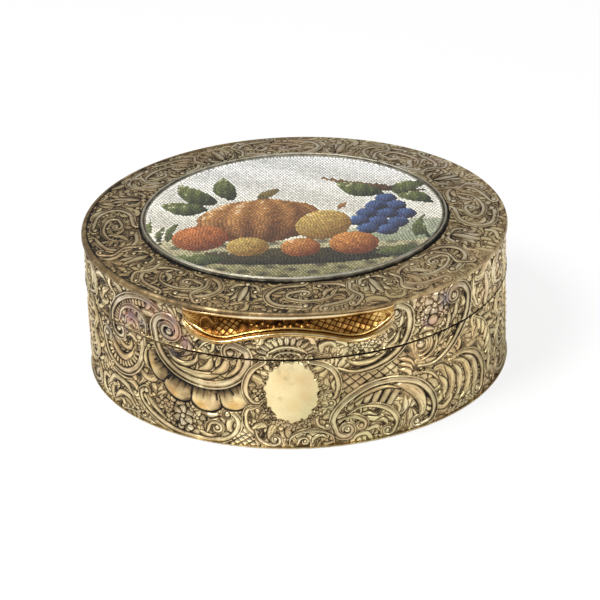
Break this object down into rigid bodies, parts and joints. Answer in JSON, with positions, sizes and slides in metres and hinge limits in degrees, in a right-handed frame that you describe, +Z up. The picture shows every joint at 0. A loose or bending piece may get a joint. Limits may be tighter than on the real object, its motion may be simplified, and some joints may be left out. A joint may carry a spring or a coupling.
{
  "type": "snuff box",
  "caption": "Oval silver-gilt table snuff box with chased rococo scrollwork, a hinged lid with a micromosaic panel, and a serpentine thumbpiece.",
  "frame": {"origin": "centre of the flat underside, in the middle of the oval", "axes": "+Z up, +X along the oval's long axis to the viewer's right, the thumbpiece on the -Y side and the hinge on the +Y side"},
  "size_m": [0.09, 0.0838, 0.0342],
  "materials": {
    "chased_gilt": "chased and engraved silver gilt, worn pale, dark in the hollows",
    "bright_gilt": "smooth bright gilding inside the box",
    "plain_gilt": "plain filed and burnished gilding",
    "amber_gilt": "deep amber gilding, polished on the lip",
    "frame_silver": "plain worn silver moulding",
    "tray_copper": "dull copper sheet",
    "pin_steel": "drawn wire",
    "mosaic_cement": "fine matte putty",
    "mosaic_glass": "small opaque enamel-glass tesserae in many colours, ground flat"
  },
  "bodies": {
    "base": {"base_plate": "chased_gilt", "base_wall": "chased_gilt", "base_lining": "bright_gilt", "base_hinge_bearer": "plain_gilt", "base_knuckle_1": "plain_gilt", "base_knuckle_2": "plain_gilt", "base_knuckle_3": "plain_gilt", "base_knuckle_4": "plain_gilt", "base_knuckle_5": "plain_gilt", "hinge_pin": "pin_steel", "hinge_plug_left": "plain_gilt", "hinge_plug_right": "plain_gilt"},
    "lid": {"lid_wall": "chased_gilt", "lid_top_plate": "chased_gilt", "lid_inner_plate": "bright_gilt", "lid_hinge_bearer": "plain_gilt", "lid_knuckle_1": "plain_gilt", "lid_knuckle_2": "plain_gilt", "lid_knuckle_3": "plain_gilt", "lid_knuckle_4": "plain_gilt", "thumbpiece": "amber_gilt", "mosaic_frame": "frame_silver", "mosaic_tray": "tray_copper", "mosaic_bed": "mosaic_cement", "mosaic_tesserae": "mosaic_glass"}
  },
  "joints": [
    {"name": "lid_hinge", "type": "hinge", "parent": "base", "child": "lid", "pos_m": [0, 0.04063, 0.02155], "axis": [-1, 0, 0], "range_deg": [0, 100]}
  ]
}
